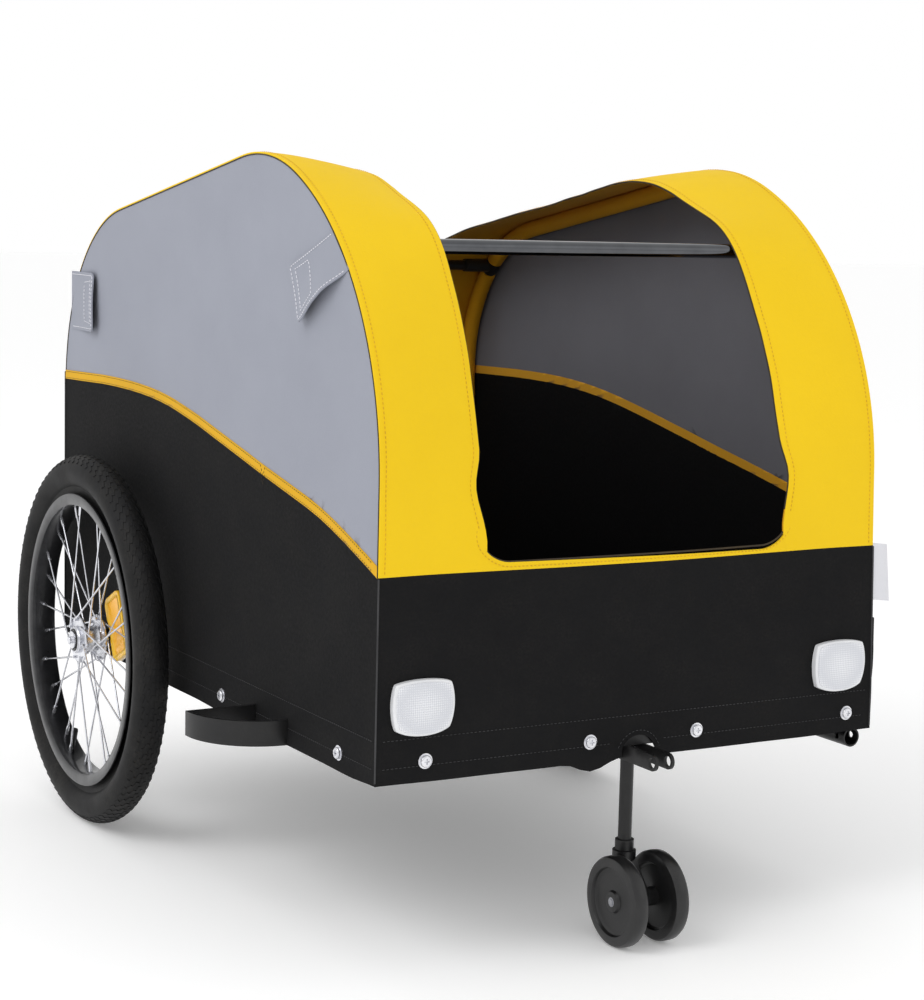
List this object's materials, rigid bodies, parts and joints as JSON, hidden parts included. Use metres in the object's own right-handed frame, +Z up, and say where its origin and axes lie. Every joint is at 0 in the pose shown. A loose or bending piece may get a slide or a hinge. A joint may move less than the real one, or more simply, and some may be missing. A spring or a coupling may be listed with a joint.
{
  "type": "child bicycle trailer",
  "caption": "Two-wheeled bicycle trailer with a sewn open-topped body on hoops, spoked quick-release wheels and a fold-up swivel caster leg.",
  "frame": {"origin": "on the ground, in the middle of the overall length and width", "axes": "-Y is the front (travel direction), +X the right-hand side seen from the front, +Z up"},
  "size_m": [0.698, 0.8669, 0.7294],
  "materials": {
    "cloth_black": "matte woven",
    "cloth_grey": "matte woven",
    "cloth_yellow": "satin coated weave",
    "piping_yellow": "folded tape",
    "frame_black": "powder coat",
    "bar_steel": "gloss paint",
    "rubber_tyre": "matte",
    "rim_black": "satin",
    "spoke_steel": "bright",
    "hub_steel": "bright",
    "bearing_steel": "ground",
    "screw_steel": "zinc",
    "plastic_black": "moulded",
    "reflector_clear": "prismatic",
    "reflector_red": "prismatic",
    "reflector_amber": "prismatic",
    "tray_white": "moulded",
    "tag_white": "satin ribbon",
    "board_black": "sheet"
  },
  "bodies": {
    "trailer": {"axle_cross_tube": "frame_black", "axle_receivers": "frame_black", "blank_tag": "tag_white", "caster_bracket": "frame_black", "cover_band_left": "cloth_yellow", "cover_band_right": "cloth_yellow", "crossbar_clips": "plastic_black", "drawbar_socket": "frame_black", "fabric_tabs": "cloth_grey", "flag_sleeve": "cloth_black", "floor_board": "board_black", "floor_panel": "cloth_black", "front_crossbar": "bar_steel", "front_hem": "cloth_yellow", "front_panel": "cloth_black", "front_rail": "frame_black", "front_reflector_lenses": "reflector_clear", "hoop_sleeve_left": "cloth_grey", "hoop_sleeve_right": "cloth_grey", "hoop_spigots": "frame_black", "pivot_bolt": "screw_steel", "rear_crossbar": "frame_black", "rear_hem": "cloth_yellow", "rear_panel": "cloth_black", "rear_rail": "frame_black", "rear_reflector_lenses": "reflector_red", "reflector_housings": "tray_white", "side_hoop_left": "frame_black", "side_hoop_right": "frame_black", "side_lower_left": "cloth_black", "side_lower_right": "cloth_black", "side_piping": "piping_yellow", "side_rail_left": "frame_black", "side_rail_right": "frame_black", "side_upper_left": "cloth_grey", "side_upper_right": "cloth_grey", "skirt_screws": "screw_steel", "wheel_axles": "hub_steel", "wheel_guard_left": "frame_black", "wheel_guard_right": "frame_black"},
    "wheel_left": {"tyre_left": "rubber_tyre", "rim_left": "rim_black", "spokes_left": "spoke_steel", "hub_left": "hub_steel", "hub_bearings_left": "bearing_steel", "spoke_reflector_left": "reflector_amber"},
    "wheel_right": {"tyre_right": "rubber_tyre", "rim_right": "rim_black", "spokes_right": "spoke_steel", "hub_right": "hub_steel", "hub_bearings_right": "bearing_steel", "spoke_reflector_right": "reflector_amber"},
    "button_left": {"axle_button_left": "hub_steel"},
    "button_right": {"axle_button_right": "hub_steel"},
    "clamp_nut": {"clamp_nut": "plastic_black"},
    "caster_leg": {"caster_leg": "frame_black"},
    "caster_fork": {"caster_fork": "plastic_black", "caster_axle": "bearing_steel"},
    "caster_wheel_left": {"caster_wheel_left": "plastic_black"},
    "caster_wheel_right": {"caster_wheel_right": "plastic_black"}
  },
  "joints": [
    {"name": "wheel_left_spin", "type": "hinge", "parent": "trailer", "child": "wheel_left", "pos_m": [-0.3135, 0.231, 0.2025], "axis": [1, 0, 0], "continuous": true},
    {"name": "wheel_right_spin", "type": "hinge", "parent": "trailer", "child": "wheel_right", "pos_m": [0.3135, 0.231, 0.2025], "axis": [1, 0, 0], "continuous": true},
    {"name": "button_left_press", "type": "slide", "parent": "trailer", "child": "button_left", "axis": [1, 0, 0], "range_m": [0, 0.003], "stiffness_N_per_m": 300},
    {"name": "button_right_press", "type": "slide", "parent": "trailer", "child": "button_right", "axis": [-1, 0, 0], "range_m": [0, 0.003], "stiffness_N_per_m": 300},
    {"name": "caster_leg_fold", "type": "hinge", "parent": "trailer", "child": "caster_leg", "pos_m": [0, -0.3655, 0.1804], "axis": [1, 0, 0], "range_deg": [-90, 0]},
    {"name": "clamp_nut_turn", "type": "hinge", "parent": "trailer", "child": "clamp_nut", "pos_m": [-0.017, -0.3655, 0.1804], "axis": [1, 0, 0], "range_deg": [-180, 180]},
    {"name": "caster_swivel", "type": "hinge", "parent": "caster_leg", "child": "caster_fork", "pos_m": [0, -0.3655, 0.084], "axis": [0, 0, 1], "continuous": true},
    {"name": "caster_wheel_left_spin", "type": "hinge", "parent": "caster_fork", "child": "caster_wheel_left", "pos_m": [-0.0228, -0.3905, 0.043], "axis": [1, 0, 0], "continuous": true},
    {"name": "caster_wheel_right_spin", "type": "hinge", "parent": "caster_fork", "child": "caster_wheel_right", "pos_m": [0.0228, -0.3905, 0.043], "axis": [1, 0, 0], "continuous": true}
  ]
}
